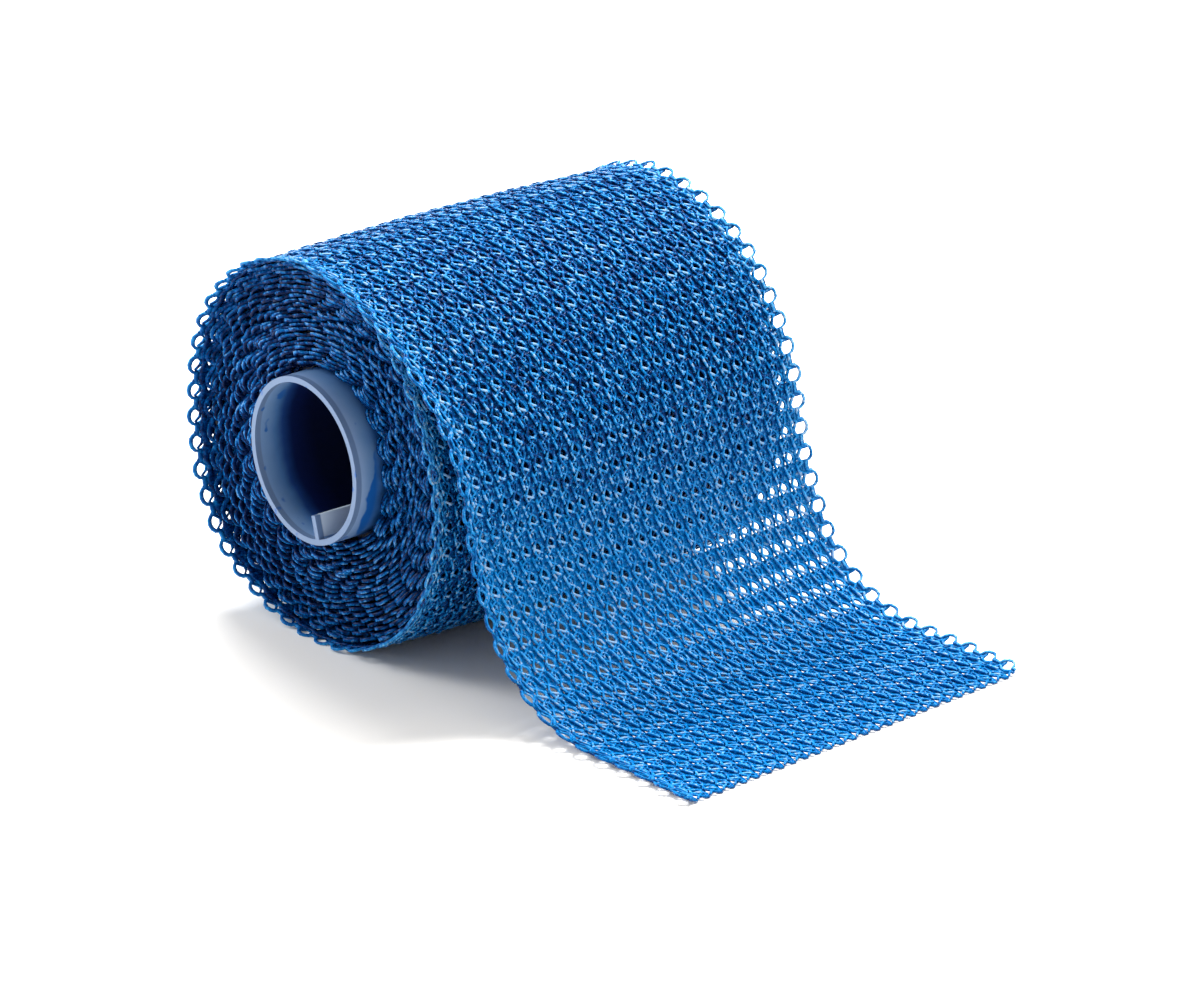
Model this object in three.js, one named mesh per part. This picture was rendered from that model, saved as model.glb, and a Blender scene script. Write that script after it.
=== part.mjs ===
// A roll of fibreglass casting tape: an open warp knit wound on a plastic core, its free end drawn
// off the top of the roll and laid on the surface.
// Millimetres. +Z is up, +Y runs along the core, and the free end leaves towards +X.
// The origin is on the surface, below the middle of the core.

import * as THREE from 'three';

const TAPE = { width: 76, thickness: 1.2, crown: 0.9 };
const GAP = 0.3;

const CORE = { bore: 26.5, wall: 1, length: 82, height: 32 };

// The rib that a dispenser's spindle drives, standing on the inside of the bore.
// at: degrees about the core, from +X towards +Z.
const RIB = { at: -75, tall: 4, thick: 1 };

// The wound tape's outside, anticlockwise from where the free end leaves it.
// at: degrees about the core, from +X towards +Z.  r: millimetres from the core's axis.
const OUTSIDE = [
  { at: 97, r: 33.5 },
  { at: 118, r: 33.3 },
  { at: 140, r: 33.0 },
  { at: 160, r: 32.4 },
  { at: 180, r: 31.8 },
  { at: 200, r: 32.5 },
  { at: 225, r: 33.3 },
  { at: 245, r: 32.6 },
  { at: 260, r: 32.3 },
  { at: 275, r: 32.4 },
  { at: 295, r: 32.8 },
  { at: 315, r: 33.0 },
  { at: 340, r: 32.6 },
  { at: 370, r: 31.9 },
  { at: 400, r: 31.6 },
  { at: 430, r: 31.8 },
  { at: 455, r: 32.0 },
];

// The inner turns sit towards +Y, and the outer ones have slid out of the near end.
// below: depth under the outside.  out: slide towards -Y from the inner turns.
const INNER_TURNS_AT = 0.9;
const SLIDE = [
  { below: 0, out: 3.9 },
  { below: 1.2, out: 3.8 },
  { below: 2.4, out: 2.0 },
  { below: 4.5, out: 0.8 },
  { below: 8, out: 0.2 },
];

// The free end as it runs from the top of the roll to the surface, in the side view.
// run: length along the tape.  turn: degrees it bends over that length, up is positive.
const FREE_END = {
  start: { at: 94.3, r: 33.5, heading: 1.6 },
  bends: [
    { name: 'over the roll', run: 42.7, turn: -56.3 },
    { name: 'over the side', run: 13.5, turn: -30.3 },
    { name: 'swinging out', run: 18.8, turn: 13.7 },
    { name: 'onto the surface', run: 15.7, turn: 41.0 },
    { name: 'settling', run: 13.1, turn: 30.3 },
    { name: 'flat', run: 24, turn: 0 },
  ],
  step: 1.8,
  skew: 5.2,
  drift: 6.2,
};

const ACROSS = [-0.5, -0.25, 0, 0.25, 0.5];

const radians = THREE.MathUtils.degToRad;

function ease(value) {
  return THREE.MathUtils.smootherstep(value, 0, 1);
}

function crown(across) {
  return TAPE.crown * (1 - 4 * across * across);
}

function fabric(colour) {
  return new THREE.MeshStandardMaterial({ color: colour, roughness: 0.45, metalness: 0 });
}

function plastic(colour) {
  return new THREE.MeshStandardMaterial({ color: colour, roughness: 0.5, metalness: 0 });
}

// Reads a value from a table at a place between two rows, on a smooth curve through all the rows.
function reader(rows, key, value) {
  const curve = new THREE.SplineCurve(rows.map((row) => new THREE.Vector2(row[key], row[value])));
  const steps = curve.getPoints(rows.length * 24);
  return (place) => {
    const after = steps.findIndex((step) => step.x >= place);
    if (after < 1) {
      return after === 0 ? steps[0].y : steps[steps.length - 1].y;
    }
    const [low, high] = [steps[after - 1], steps[after]];
    return THREE.MathUtils.mapLinear(place, low.x, high.x, low.y, high.y);
  };
}

// A closed skin through sections that all have the same number of points. The sections come back
// to the first one, as round a ring, or else two flat ends close them.
function skin(sections, { ring }) {
  const count = sections[0].length;
  const faces = [];
  const rows = ring ? sections.length : sections.length - 1;
  for (let row = 0; row < rows; row += 1) {
    const here = row * count;
    const there = ((row + 1) % sections.length) * count;
    for (let side = 0; side < count; side += 1) {
      const next = (side + 1) % count;
      faces.push(here + side, there + side, here + next);
      faces.push(here + next, there + side, there + next);
    }
  }
  if (!ring) {
    const end = (sections.length - 1) * count;
    for (let upper = 0; upper < count / 2 - 1; upper += 1) {
      const lower = count - 1 - upper;
      faces.push(upper, upper + 1, lower, upper + 1, lower - 1, lower);
      faces.push(end + upper, end + lower, end + upper + 1);
      faces.push(end + upper + 1, end + lower, end + lower - 1);
    }
  }
  const places = sections.flat().flatMap((point) => point.toArray());
  const geometry = new THREE.BufferGeometry();
  geometry.setAttribute('position', new THREE.Float32BufferAttribute(places, 3));
  geometry.setIndex(faces);
  geometry.computeVertexNormals();
  return geometry;
}

function coreTube() {
  const inner = CORE.bore / 2;
  const outer = inner + CORE.wall;
  const foot = Math.asin(RIB.thick / 2 / inner);
  const tip = Math.asin(RIB.thick / 2 / (inner - RIB.tall));
  const middle = radians(RIB.at);

  const section = new THREE.Shape();
  section.absarc(0, 0, outer, 0, 2 * Math.PI, false);
  const bore = new THREE.Path();
  bore.absarc(0, 0, inner, middle + foot, middle - foot + 2 * Math.PI, false);
  for (const side of [-1, 1]) {
    const angle = middle + side * tip;
    const reach = inner - RIB.tall;
    bore.lineTo(reach * Math.cos(angle), reach * Math.sin(angle));
  }
  bore.closePath();
  section.holes.push(bore);

  const tube = new THREE.ExtrudeGeometry(section, {
    depth: CORE.length,
    bevelEnabled: false,
    curveSegments: 96,
  });
  tube.translate(0, 0, -CORE.length / 2);
  tube.rotateX(Math.PI / 2);
  tube.translate(0, 0, CORE.height);
  return tube;
}

function woundTape() {
  const outside = reader(OUTSIDE, 'at', 'r');
  const inner = CORE.bore / 2 + CORE.wall + GAP;
  const first = OUTSIDE[0].at;
  const last = OUTSIDE[OUTSIDE.length - 1].at;
  const columns = 176;

  const sections = [];
  for (let column = 0; column <= columns; column += 1) {
    const at = first + ((last - first) * column) / columns;
    const edge = outside(at);
    const place = (r, across, out) => new THREE.Vector3(
      r * Math.cos(radians(at)),
      INNER_TURNS_AT + across * TAPE.width - out,
      Math.max(CORE.height + r * Math.sin(radians(at)), 0),
    );
    const turns = [...SLIDE.slice(1).map((row) => ({ r: edge - row.below, out: row.out }))];
    turns.push({ r: inner, out: 0 });
    const near = turns.map(({ r, out }) => place(r, -0.5, out)).reverse();
    const top = ACROSS.map((across) => place(edge + crown(across), across, SLIDE[0].out));
    const far = turns.map(({ r, out }) => place(r, 0.5, out));
    sections.push([...near, ...top, ...far].reverse());
  }
  return skin(sections, { ring: true });
}

// The upper face of the free end in the side view, one stop for each step along it.
function freeEndStops() {
  const { start, bends, step } = FREE_END;
  let x = start.r * Math.cos(radians(start.at));
  let z = CORE.height + start.r * Math.sin(radians(start.at));
  let heading = radians(start.heading);
  let gone = 0;
  const stops = [{ x, z, heading, gone }];
  for (const bend of bends) {
    const steps = Math.ceil(bend.run / step);
    const turn = radians(bend.turn) / steps;
    const run = bend.run / steps;
    for (let count = 0; count < steps; count += 1) {
      x += run * Math.cos(heading + turn / 2);
      z += run * Math.sin(heading + turn / 2);
      heading += turn;
      gone += run;
      stops.push({ x, z, heading, gone });
    }
  }
  return stops;
}

function freeEnd() {
  const stops = freeEndStops();
  const end = stops[stops.length - 1];
  const middle = INNER_TURNS_AT - SLIDE[0].out;
  const sections = stops.map(({ x, z, heading, gone }) => {
    const swung = ease((gone - 20) / 30);
    const slid = ease((gone - 38) / (end.gone - 38));
    const flattened = ease(1 - gone / 70);
    const place = (across, depth) => {
      const height = crown(across) * flattened - depth;
      return new THREE.Vector3(
        x - across * FREE_END.skew * swung - height * Math.sin(heading),
        middle + across * TAPE.width + FREE_END.drift * slid,
        Math.max(z - end.z + TAPE.thickness + height * Math.cos(heading), 0),
      );
    };
    const upper = ACROSS.map((across) => place(across, 0));
    const lower = ACROSS.map((across) => place(across, TAPE.thickness)).reverse();
    return [...upper, ...lower];
  });
  return skin(sections, { ring: false });
}

function part(name, geometry, material) {
  const mesh = new THREE.Mesh(geometry, material);
  mesh.name = name;
  return mesh;
}

const roll = new THREE.Group();
roll.add(part('core', coreTube(), plastic(0x8fa6c4)));
roll.add(part('wound_tape', woundTape(), fabric(0x0a4f9e)));
roll.add(part('loose_end', freeEnd(), fabric(0x1b74c6)));

export default roll;
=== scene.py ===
# %% [markdown]
# A roll of fibreglass casting tape
#
# The real thing is a strip of knitted glass yarn, 76 mm wide over its edge loops and some metres long, wetted
# with a blue resin and wound on a plastic core. Its free end runs over the roll and down onto the table.
# The whole look is in the knit: open cells in rows, a scalloped edge of small loops, and a deep blue where
# turn lies on turn. So the yarns themselves are made here.

# %% The frame
import math

import bpy
import numpy as np
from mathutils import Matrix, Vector


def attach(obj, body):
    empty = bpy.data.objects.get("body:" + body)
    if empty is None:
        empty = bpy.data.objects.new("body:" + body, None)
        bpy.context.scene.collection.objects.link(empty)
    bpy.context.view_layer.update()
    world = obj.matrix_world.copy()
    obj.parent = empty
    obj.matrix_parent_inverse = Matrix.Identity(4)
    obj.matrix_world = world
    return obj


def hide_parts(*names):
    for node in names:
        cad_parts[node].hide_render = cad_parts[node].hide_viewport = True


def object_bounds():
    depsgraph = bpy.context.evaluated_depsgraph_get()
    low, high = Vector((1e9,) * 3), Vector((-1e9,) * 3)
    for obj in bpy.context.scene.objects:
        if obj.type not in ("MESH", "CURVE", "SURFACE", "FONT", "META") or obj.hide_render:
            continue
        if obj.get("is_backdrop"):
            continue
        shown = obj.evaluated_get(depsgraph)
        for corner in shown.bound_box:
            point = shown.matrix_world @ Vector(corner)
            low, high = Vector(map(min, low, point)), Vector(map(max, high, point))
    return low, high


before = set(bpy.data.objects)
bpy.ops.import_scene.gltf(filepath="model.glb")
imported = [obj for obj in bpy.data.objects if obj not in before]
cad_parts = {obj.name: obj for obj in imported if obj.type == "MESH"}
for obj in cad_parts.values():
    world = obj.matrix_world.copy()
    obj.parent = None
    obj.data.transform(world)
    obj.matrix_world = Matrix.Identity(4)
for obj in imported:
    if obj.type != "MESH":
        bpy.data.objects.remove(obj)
cad_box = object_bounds()
MM = 0.001
print("solids:", sorted(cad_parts))


# %% [markdown]
# Three small helpers serve the whole file. One puts data in the scene as an object, one turns an sRGB hex
# value to the linear numbers that Blender mixes with, and one adds a node with its settings and links, in
# any kind of tree. A node that is given to it as an input stands for that node's first output.

# %% Helpers
def in_scene(name, data):
    made = bpy.data.objects.new(name, data)
    bpy.context.scene.collection.objects.link(made)
    return made


def colour(code):
    parts = [int(code[i : i + 2], 16) / 255 for i in (1, 3, 5)]
    linear = [c / 12.92 if c <= 0.04045 else ((c + 0.055) / 1.055) ** 2.4 for c in parts]
    return (*linear, 1)


def add(tree, kind, inputs=None, **settings):
    made = tree.nodes.new(kind)
    for name, value in settings.items():
        setattr(made, name, value)
    for name, value in (inputs or {}).items():
        if isinstance(value, bpy.types.Node):
            value = value.outputs[0]
        if isinstance(value, bpy.types.NodeSocket):
            tree.links.new(value, made.inputs[name])
        else:
            made.inputs[name].default_value = value
    return made


print("royal blue is", [round(c, 3) for c in colour("#0A5CB8")])


# %% [markdown]
# The camera stands where the photographer stood: low, well to the right of the roll's near end and far off,
# so that a long lens flattens the depth. Its place was worked out for a frame of 1200 by 1000 pixels.

# %% The camera
VIEW = {"azimuth": 50.71, "elevation": 22.12, "distance": 1080.8, "lens": 199.4}
LOOKS_AT = Vector((35.67, -7.61, 27.76)) * MM


def place_camera(view, target):
    across = math.radians(view["azimuth"])
    up = math.radians(view["elevation"])
    back = Vector((math.sin(across) * math.cos(up), -math.cos(across) * math.cos(up), math.sin(up)))
    data = bpy.data.cameras.new("camera")
    data.lens = view["lens"]
    data.sensor_width = 36
    camera = in_scene("camera", data)
    camera.location = target + back * view["distance"] * MM
    camera.rotation_euler = back.to_track_quat("Z", "Y").to_euler()
    bpy.context.scene.camera = camera
    return camera


camera = place_camera(VIEW, LOOKS_AT)
print("camera at", [round(x, 3) for x in camera.location])


# %% [markdown]
# The tape is one long strip, so it has one long path: from the cut end on the table, up over the roll, and
# then inwards turn by turn to the core. Seen from the near end it is a line in the XZ plane. The free end
# is a chain of arcs, and the roll a spiral that is slightly out of round, as the solid part has it.
#
# Across the table the strip isn't straight either. The outer turns have slid towards the near end and stand
# out there like a collar. At the far edge the turns under the free end are drawn in, because a knit that is
# wound under tension grows narrower. So the free end's far loops stand clear of them.

# %% The measures of the tape
TAPE = {"width": 76, "crown": 0.9, "thickness": 0.9, "turn_step": 0.8}
CORE = {"outer": 14.25, "axis_at": 32}
FIRST_TURN = {"at": 94.3, "radius": 33.5, "heading": 1.6, "step_in": 1.5}
INNERMOST = 15.1
INNER_MIDDLE = 0.9

# The roll's outline: degrees round from the +X side, and the radius there.
OUTLINE = [
    (97, 33.5), (118, 33.3), (140, 33.0), (160, 32.4), (180, 31.8), (200, 32.5), (225, 33.3),
    (245, 32.6), (260, 32.3), (275, 32.4), (295, 32.8), (315, 33.0), (340, 32.6), (370, 31.9),
    (400, 31.6), (430, 31.8), (455, 32.0),
]

# Turns in from the start of the roll, and how far the strip has slid there or is drawn in.
SLID = [(0, 3.9), (0.3, 3.9), (0.73, 2.8), (1.2, 1.4), (1.73, 0.8), (2.5, 0.5), (5, 0.2), (22.5, 0)]
DRAWN_IN = [
    (0, 0), (0.5, 0.6), (0.73, 2.3), (1, 3.1), (1.2, 3.7), (1.73, 4.2), (2.5, 4.2), (4, 3.8), (6, 2.4),
    (9, 0.8), (12, 0), (22.5, 0),
]

# The free end's bends: the length of each, and the degrees that it turns by.
BENDS = [
    ("over the roll", 42.7, -56.3), ("over the side", 13.5, -30.3), ("swinging out", 18.8, 13.7),
    ("onto the surface", 15.7, 41.0), ("settling", 13.1, 30.3), ("flat", 24, 0),
]

# Along the free end: the height of the cut end, the depth under the outer face, how far the strip is
# skewed and drifts sideways, and where its crown ends.
RESTS_AT = 1.2
SUNK = {"on_roll": 0.45, "more": 0.3, "over": 100}
SKEW = {"most": 5.2, "starts": 20, "over": 30}
DRIFT = {"most": 6.2, "starts": 38}
CROWN_ENDS = 70

FREE_LENGTH = sum(run for name, run, turn in BENDS)
SPAN = FIRST_TURN["radius"] - INNERMOST
FIRST_SHARE = FIRST_TURN["step_in"] / SPAN
TURN_SHARE = TAPE["turn_step"] / SPAN
TURNS = 1 + (1 - FIRST_SHARE) / TURN_SHARE
print("free end", FREE_LENGTH, "mm; turns", round(TURNS, 1))


# %% [markdown]
# Only a few measures are taken, so curves are drawn through them: a smooth one through the values of a
# table, and an easing from 0 to 1 that starts and ends flat. The outline is asked for by the angle.

# %% Curves through a few measures
def smooth_lookup(table, at):
    places, values = (np.array(column, float) for column in zip(*table))
    slopes = np.gradient(values, places)
    at = np.clip(at, places[0], places[-1])
    i = np.clip(np.searchsorted(places, at) - 1, 0, len(places) - 2)
    gap = places[i + 1] - places[i]
    t = (at - places[i]) / gap
    start = (2 * t**3 - 3 * t**2 + 1) * values[i] + (t**3 - 2 * t**2 + t) * gap * slopes[i]
    return start + (3 * t**2 - 2 * t**3) * values[i + 1] + (t**3 - t**2) * gap * slopes[i + 1]


def ease(t):
    t = np.clip(t, 0, 1)
    return t**3 * (t * (6 * t - 15) + 10)


def share_wound(turn):
    """How far in a turn lies, from 0 on the outside of the roll to 1 against the core."""
    return np.where(turn < 1, FIRST_SHARE * turn, FIRST_SHARE + TURN_SHARE * (turn - 1))


def outline_at(angle):
    first = OUTLINE[0][0]
    place = (angle - first) % 360 + first
    return smooth_lookup(OUTLINE, place) + FIRST_TURN["step_in"] * (place - first) / 360


print("radius on the left", round(float(outline_at(180)), 1), "mm")


# %% [markdown]
# The free end is followed bend by bend in steps of 1 mm, and then set down so that its cut end rests on the
# table. The turns are followed in steps of 3 degrees. Both lie about half a thickness under the tape's
# outer face, where the middle of the cloth is.

# %% The path of the tape
def free_end_path(step=1.0):
    """Rows of x, z, skew, middle, crown and drawn-in edge in mm, from the roll to the cut end."""
    gone = np.linspace(0, FREE_LENGTH, int(FREE_LENGTH / step) + 1)
    stops = np.cumsum([0] + [run for name, run, turn in BENDS])
    headings = FIRST_TURN["heading"] + np.cumsum([0] + [turn for name, run, turn in BENDS])
    heading = np.radians(np.interp(gone, stops, headings))
    pace = np.diff(gone)
    middle = (heading[1:] + heading[:-1]) / 2
    start = math.radians(FIRST_TURN["at"])
    x = FIRST_TURN["radius"] * math.cos(start) + np.concatenate([[0], np.cumsum(np.cos(middle) * pace)])
    z = np.concatenate([[0], np.cumsum(np.sin(middle) * pace)])
    z = z - z[-1] + RESTS_AT
    depth = SUNK["on_roll"] + SUNK["more"] * ease(gone / SUNK["over"])
    swung = ease((gone - SKEW["starts"]) / SKEW["over"])
    drifted = ease((gone - DRIFT["starts"]) / (FREE_LENGTH - DRIFT["starts"]))
    return np.stack([
        x + depth * np.sin(heading),
        z - depth * np.cos(heading),
        SKEW["most"] * swung,
        INNER_MIDDLE - SLID[0][1] + DRIFT["most"] * drifted,
        TAPE["crown"] * ease(1 - gone / CROWN_ENDS),
        0 * gone,
    ], 1)


STEPS_A_TURN = 120


def wound_path():
    """The same rows for the turns of the roll, from the outside in."""
    turn = np.arange(0, TURNS, 1 / STEPS_A_TURN)
    share = share_wound(turn)
    angle = FIRST_TURN["at"] + 360 * turn
    radius = INNERMOST + (outline_at(angle) - INNERMOST) * (1 - share) - TAPE["thickness"] / 2
    return np.stack([
        radius * np.cos(np.radians(angle)),
        CORE["axis_at"] + radius * np.sin(np.radians(angle)),
        0 * turn,
        INNER_MIDDLE - smooth_lookup(SLID, turn),
        TAPE["crown"] * (1 - share),
        smooth_lookup(DRAWN_IN, turn),
    ], 1)


free_rows = free_end_path()
rows = np.concatenate([free_rows[::-1], wound_path()[1:]])
print("path points", len(rows))


# %% [markdown]
# The path is kept as a mesh of points and edges that is never rendered. Each point also carries how the
# strip lies there: its skew, where its middle is across the table, its crown, and how far its far edge is
# drawn in.

# %% The path as an object
def path_object(name, rows):
    places = [(x * MM, 0, z * MM) for x, z, *rest in rows]
    mesh = bpy.data.meshes.new(name)
    mesh.from_pydata(places, [(i, i + 1) for i in range(len(places) - 1)], [])
    lay = mesh.attributes.new("lay", "FLOAT_VECTOR", "POINT")
    lay.data.foreach_set("vector", (rows[:, 2:5] * MM).ravel())
    drawn = mesh.attributes.new("drawn_in", "FLOAT", "POINT")
    drawn.data.foreach_set("value", rows[:, 5] * MM)
    return in_scene(name, mesh)


path = path_object("tape_path", rows)
steps = np.hypot(*np.diff(rows[:, :2], axis=0).T)
ALONG = np.concatenate([[0], np.cumsum(steps)])
START_OF_ROLL = ALONG[len(free_rows) - 1]
ONE_TURN_IN = ALONG[len(free_rows) - 1 + STEPS_A_TURN]
print("tape length", round(ALONG[-1]), "mm; free end", round(START_OF_ROLL), "; first turn",
      round(ONE_TURN_IN - START_OF_ROLL))


# %% [markdown]
# The knit is a warp knit. Upright chains of loops, the wales, run along the tape 2.7 mm apart and lean to
# and fro a little. Flat bands cross from wale to wale and close every second row of openings. Chains and
# bands are one web, the ground of the cloth.
#
# A picture of a knit on a plain sheet would be lighter, but it would hide the openings and the loops of the
# edge. So each yarn is drawn, and only once, as a line through one repeat: u runs along the tape, v across
# it and w out of it.

# %% The ground of the knit
REPEAT = 4.6
COURSE = REPEAT / 2
WALE = 2.7
WALES = 27
LAST_WALE = WALE * (WALES - 1) / 2
EYELET_MIDDLE = 36.4
LEAN = 0.3


def lean(u):
    return -LEAN * (1 - np.cos(2 * np.pi * np.asarray(u, float) / REPEAT))


WALE_AT = np.array([-COURSE, -COURSE / 2, 0, COURSE / 2, COURSE])
CHAIN = np.stack([WALE_AT, lean(WALE_AT), np.full(5, -0.2)], 1)
BAND_ABOVE = [(1.1, -0.2, -0.2), (1.04, 1.15, -0.14), (1.1, 2.5, -0.2)]
BAND_BETWEEN = [(1.95, -0.6, -0.3), (1.95, 0.75, -0.26), (1.95, 2.1, -0.3)]
BAND_BELOW = [(2.84, -0.6, -0.2), (2.9, 0.75, -0.14), (2.84, 2.1, -0.2)]
print("wales from", -LAST_WALE, "to", LAST_WALE, "mm")


# %% [markdown]
# Two thin legs swing out from each wale and back, so that a ring of yarn stands round each opening. A short
# bar crosses the open rows and leaves a round hole above it, and a loop lies over the wale beside it. Thin
# threads run over the bands.

# %% The yarns that lie on the ground
SWING = {"at": [-2.65, -1.65, -0.35, 0.95, 1.95, 2.95], "sharp": 3.5}
LEG = {"apart": 0.46, "swings": 0.82, "height": 0.12, "rises": 0.1}
LEG_DIP = {"depth": 0.14, "at": 1.95, "reach": 0.7}
LEG_AT = (-2.3, -1.65, -1.15, -0.5, 0.3, 0.95, 1.4, 1.9, 2.3)
LEG_AT_COARSE = (-2.3, -1.65, -0.35, 0.95, 1.95, 2.3)


def swing(u):
    """How far a leg is out: 0 beside an opening and 1 where it meets the leg of the next wale."""
    turned = np.interp(u, SWING["at"], [-2, -1, 0, 1, 2, 3])
    return np.abs(np.sin(np.pi / 2 * turned)) ** SWING["sharp"]


def leg(side, at=LEG_AT):
    u = np.array(at)
    out = swing(u)
    sunk = LEG_DIP["depth"] * np.exp(-(((u - LEG_DIP["at"]) / LEG_DIP["reach"]) ** 2))
    v = lean(u) + side * (LEG["apart"] + LEG["swings"] * out)
    w = LEG["height"] - sunk + LEG["rises"] * side * out
    return np.stack([u, v, w], 1)


BAR = [(0.0, 0.2, 0.05), (-0.4, 0.62, 0.16), (-0.72, 1.1, 0.22), (-1.0, 1.6, 0.18), (-1.25, 2.2, 0.0)]
LOOP = [(0.7, 0.42, 0.05), (1.25, 0.1, 0.3), (1.9, -0.12, 0.34), (2.55, -0.28, 0.3), (3.05, -0.25, 0.0)]
THREAD_UP = [(1.35, 0.35, 0.0), (2.0, 0.8, 0.14), (2.7, 1.3, 0.0)]
THREAD_DOWN = [(2.75, 0.2, 0.0), (2.15, 0.75, 0.18), (1.3, 1.05, 0.0)]
print("points on a leg:", len(LEG_AT))


# %% [markdown]
# The edge yarns make one round eyelet for each repeat of 4.6 mm, which gives the scallops. The eyelets of
# the far edge are drawn out longer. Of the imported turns' eyelets only the tips show.

# %% The eyelets of the edges
EYELET = {"half": 1.5, "out": 0.16, "rises": 0.15, "near_tall": 1.1, "far_tall": 1.5}
TIP = {"half": 1.7, "tall": 1.5, "in": 0.24, "from": 0.1, "to": 0.9}


def eyelet(side, tall=EYELET["near_tall"], steps=6):
    turned = np.linspace(0, np.pi, steps + 1)
    u = np.concatenate([[-COURSE], -EYELET["half"] * np.cos(turned), [COURSE]])
    opening = np.concatenate([[0], np.sin(turned), [0]])
    v = side * (EYELET["out"] + tall * opening)
    w = EYELET["rises"] * side * (1 - opening)
    return np.stack([u, v, w], 1)


def tip(side):
    """The outer half of an eyelet, which is all of it that shows on a packed turn."""
    turned = np.linspace(TIP["from"], TIP["to"], 6) * np.pi
    v = side * (TIP["tall"] * np.sin(turned) - TIP["in"])
    return np.stack([-TIP["half"] * np.cos(turned), v, 0 * turned], 1)


print("eyelets reach", round(EYELET_MIDDLE + EYELET["out"] + EYELET["far_tall"], 1), "mm out")


# %% [markdown]
# Along each line goes a second value, the glint: a painted highlight where the resin on that yarn stands
# proud and catches the light. The bars and the eyelets glint most, the tops of the loops less, and the ground
# hardly at all.

# %% Lines to cells
def yarn_cell(name, lines, glints):
    points, edges, bright = [], [], []
    for line, glint in zip(lines, glints):
        first = len(points)
        points += [tuple(float(c) * MM for c in point) for point in line]
        edges += [(i, i + 1) for i in range(first, len(points) - 1)]
        bright += list(np.interp(np.linspace(0, 1, len(line)), np.linspace(0, 1, len(glint)), glint))
    mesh = bpy.data.meshes.new(name)
    mesh.from_pydata(points, edges, [])
    # The glint is a painted highlight: the finish adds it to the colour.
    mesh.attributes.new("glint", "FLOAT", "POINT").data.foreach_set("value", bright)
    return in_scene(name, mesh)


# Painted highlight along each line, from 0 to 1.
DULL = [0.0]
ON_EYELET = [[0.2, 0.6, 0.6, 0.2], [0.2, 0.7, 0.7, 0.2]]
ON_TIP = [[0, 0.8, 1, 0.8, 0]]
CELLS = {
    "web": ([CHAIN, BAND_ABOVE, BAND_BETWEEN, BAND_BELOW], [DULL, [0.1], DULL, [0.1]]),
    "left": ([leg(-1)], [[0.05, 0.05, 0.1, 0.1, 0.15, 0.4, 0.1, 0, 0]]),
    "right": ([leg(1)], [[0.2, 0.05, 0.1, 0.3, 0.2, 0.05, 0, 0.1, 0.1]]),
    "bars": ([BAR], [[0.4, 0.6, 1, 0.9, 0]]),
    "loops": ([LOOP], [[0.5, 0.6, 0.4, 0.1, 0]]),
    "threads": ([THREAD_UP, THREAD_DOWN], [[0, 0.3, 0.1], [0.1, 0.5, 0.1]]),
    "near_eyelets": ([eyelet(-1), eyelet(1)], ON_EYELET),
    "far_eyelets": ([eyelet(-1), eyelet(1, EYELET["far_tall"])], ON_EYELET),
    "near_tips": ([tip(-1)], ON_TIP),
    "far_tips": ([tip(1)], ON_TIP),
    "low_legs": ([leg(-1, LEG_AT_COARSE), leg(1, LEG_AT_COARSE)], [DULL, DULL]),
}
cells = {name: yarn_cell("cell_" + name, lines, glints) for name, (lines, glints) in CELLS.items()}
print("repeats on the free end", round(START_OF_ROLL / REPEAT, 1))


# %% [markdown]
# One tree of Geometry Nodes knits and winds, in four steps. The first sets the cell out along the tape and
# across it, and joins the cells where their ends meet. Setting out by instances keeps the tree quick.

# %% Setting out the cells
JOIN = 0.002


def laid_out(tree, given):
    """The cell repeated along the tape and then across it, as lines."""
    placed = add(tree, "GeometryNodeObjectInfo", {"Object": given["Cell"]}).outputs["Geometry"]
    for axis, count, first, step in (
        ("X", "Repeats", "First repeat", "Repeat"),
        ("Y", "Wales", "First wale", "Wale"),
    ):
        start = add(tree, "ShaderNodeCombineXYZ", {axis: given[first]})
        offset = add(tree, "ShaderNodeCombineXYZ", {axis: given[step]})
        points = add(tree, "GeometryNodeMeshLine", {
            "Count": given[count], "Start Location": start, "Offset": offset})
        placed = add(tree, "GeometryNodeInstanceOnPoints", {"Points": points, "Instance": placed})
    loose = add(tree, "GeometryNodeRealizeInstances", {"Geometry": placed})
    joined = add(tree, "GeometryNodeMergeByDistance", {"Geometry": loose, "Distance": JOIN * MM})
    return add(tree, "GeometryNodeMeshToCurve", {"Mesh": joined})


print("ends of yarns join within", JOIN, "mm")


# %% [markdown]
# No hand or machine lays every yarn alike. A noise with a fixed seed shakes the yarns a little, each stretch
# of about 4 mm its own way. A slow one can make the whole strip wander sideways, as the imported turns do.

# %% Making it uneven
NOISE = {"shake": 260.0, "wander": 55.0}


def shaken(tree, given, lines):
    place = add(tree, "GeometryNodeInputPosition")
    noise = add(tree, "ShaderNodeTexNoise", {
        "Vector": place, "W": given["Seed"], "Scale": NOISE["shake"], "Detail": 1.0}, noise_dimensions="4D")
    centred = add(tree, "ShaderNodeVectorMath", {
        0: noise.outputs["Color"], 1: (0.5, 0.5, 0.5)}, operation="SUBTRACT")
    shake = add(tree, "ShaderNodeVectorMath", {0: centred, "Scale": given["Shake"]}, operation="SCALE")
    slow = add(tree, "ShaderNodeTexNoise", {
        "Vector": place, "W": given["Seed"], "Scale": NOISE["wander"], "Detail": 1.0}, noise_dimensions="4D")
    to_and_fro = add(tree, "ShaderNodeMath", {
        0: slow.outputs["Fac"], 1: 2.0, 2: -1.0}, operation="MULTIPLY_ADD")
    sideways = add(tree, "ShaderNodeMath", {0: to_and_fro, 1: given["Wander"]}, operation="MULTIPLY")
    wander = add(tree, "ShaderNodeCombineXYZ", {"Y": sideways})
    moved = add(tree, "ShaderNodeVectorMath", {0: shake, 1: wander}, operation="ADD")
    return add(tree, "GeometryNodeSetPosition", {"Geometry": lines, "Offset": moved})


print("yarns are shaken in stretches of", round(1000 / NOISE["shake"], 1), "mm")
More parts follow.
